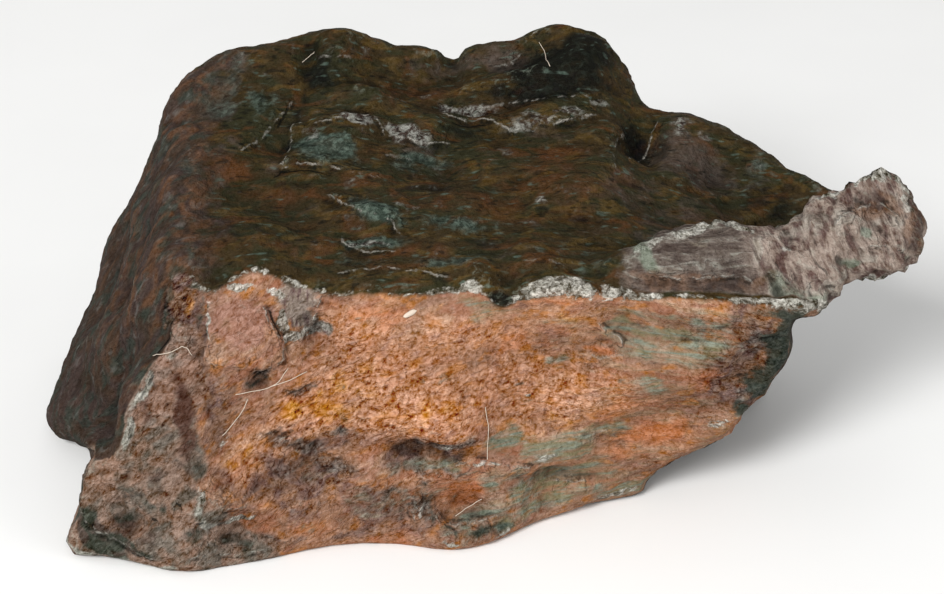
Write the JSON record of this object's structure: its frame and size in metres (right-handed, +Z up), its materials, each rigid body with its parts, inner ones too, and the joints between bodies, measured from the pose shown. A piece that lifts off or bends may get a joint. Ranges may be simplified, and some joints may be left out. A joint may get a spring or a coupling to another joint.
{
  "type": "meteorite",
  "caption": "Natural lump of torn, rusted iron with a sloping thumb-printed top, a broken front face, a foot slab and a horn at one end; it lies on its flat underside.",
  "frame": {"origin": "middle of the bounding box on the resting plane", "axes": "+X along the lump towards the horn, +Y from the broken front to the back, +Z up from the resting plane"},
  "size_m": [0.1196, 0.0702, 0.0512],
  "materials": {
    "meteorite": "rough rusted iron, satin dark brown on top"
  },
  "bodies": {
    "root": {"meteorite": "meteorite"}
  },
  "joints": []
}
